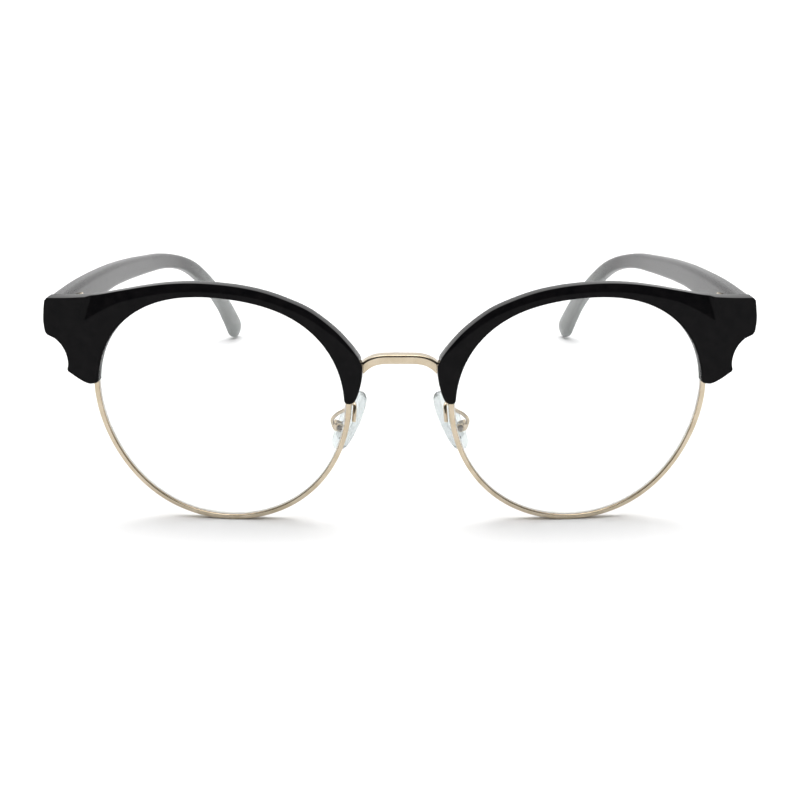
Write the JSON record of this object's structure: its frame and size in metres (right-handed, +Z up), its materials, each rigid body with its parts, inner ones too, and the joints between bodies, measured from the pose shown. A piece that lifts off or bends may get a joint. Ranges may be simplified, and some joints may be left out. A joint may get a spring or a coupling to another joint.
{
  "type": "browline eyeglasses",
  "caption": "Browline eyeglasses: gloss black brows over thin gold eyewires, clear lenses, metal bridge, rocking clear nose pads and folding satin black temples.",
  "frame": {"origin": "on the table under the middle of the open glasses, which stand on the eyewires and the temple tips", "axes": "+Z up, the front faces -Y, the temples run to +Y, the wearer's left is +X"},
  "size_m": [0.1406, 0.1473, 0.0502],
  "materials": {
    "gold_metal": "pale champagne gold plating, satin polish",
    "black_acetate": "polished black acetate",
    "satin_acetate": "black acetate with a soft satin polish",
    "clear_lens": "clear demonstration lens, polished",
    "clear_silicone": "clear soft silicone",
    "hard_clear_plastic": "clear hard plastic",
    "dark_steel": "darkened steel, turned and slotted"
  },
  "bodies": {
    "front": {"bridge": "gold_metal", "brow_left": "black_acetate", "brow_right": "black_acetate", "brow_screw_left": "dark_steel", "brow_screw_right": "dark_steel", "brow_stud_left": "gold_metal", "brow_stud_right": "gold_metal", "closing_block_lower_left": "gold_metal", "closing_block_lower_right": "gold_metal", "closing_block_upper_left": "gold_metal", "closing_block_upper_right": "gold_metal", "front_hinge_left": "gold_metal", "front_hinge_right": "gold_metal", "front_rivet_a_left": "gold_metal", "front_rivet_a_right": "gold_metal", "front_rivet_b_left": "gold_metal", "front_rivet_b_right": "gold_metal", "hinge_screw_left": "dark_steel", "hinge_screw_right": "dark_steel", "lens_left": "clear_lens", "lens_right": "clear_lens", "pad_arm_left": "gold_metal", "pad_arm_right": "gold_metal", "pad_box_left": "gold_metal", "pad_box_right": "gold_metal", "pad_screw_left": "dark_steel", "pad_screw_right": "dark_steel", "rim_left": "gold_metal", "rim_right": "gold_metal", "rim_screw_left": "dark_steel", "rim_screw_right": "dark_steel"},
    "temple_left": {"temple_left": "satin_acetate", "core_wire_left": "dark_steel", "temple_hinge_left": "gold_metal", "temple_rivet_a_left": "gold_metal", "temple_rivet_b_left": "gold_metal"},
    "temple_right": {"temple_right": "satin_acetate", "core_wire_right": "dark_steel", "temple_hinge_right": "gold_metal", "temple_rivet_a_right": "gold_metal", "temple_rivet_b_right": "gold_metal"},
    "pad_left": {"nose_pad_left": "clear_silicone", "pad_insert_left": "hard_clear_plastic"},
    "pad_right": {"nose_pad_right": "clear_silicone", "pad_insert_right": "hard_clear_plastic"}
  },
  "joints": [
    {"name": "temple_left_fold", "type": "hinge", "parent": "front", "child": "temple_left", "pos_m": [0.06452, -0.06497, 0.0432], "axis": [0, 0, 1], "range_deg": [0, 84]},
    {"name": "temple_right_fold", "type": "hinge", "parent": "front", "child": "temple_right", "pos_m": [-0.06452, -0.06497, 0.0432], "axis": [0, 0, -1], "range_deg": [0, 75]},
    {"name": "pad_left_rock", "type": "hinge", "parent": "front", "child": "pad_left", "pos_m": [0.0128, -0.06309, 0.01843], "axis": [0.3024, 0.9362, 0.1792], "range_deg": [-8, 8]},
    {"name": "pad_right_rock", "type": "hinge", "parent": "front", "child": "pad_right", "pos_m": [-0.0128, -0.06309, 0.01843], "axis": [-0.3024, 0.9362, 0.1792], "range_deg": [-8, 8]}
  ]
}
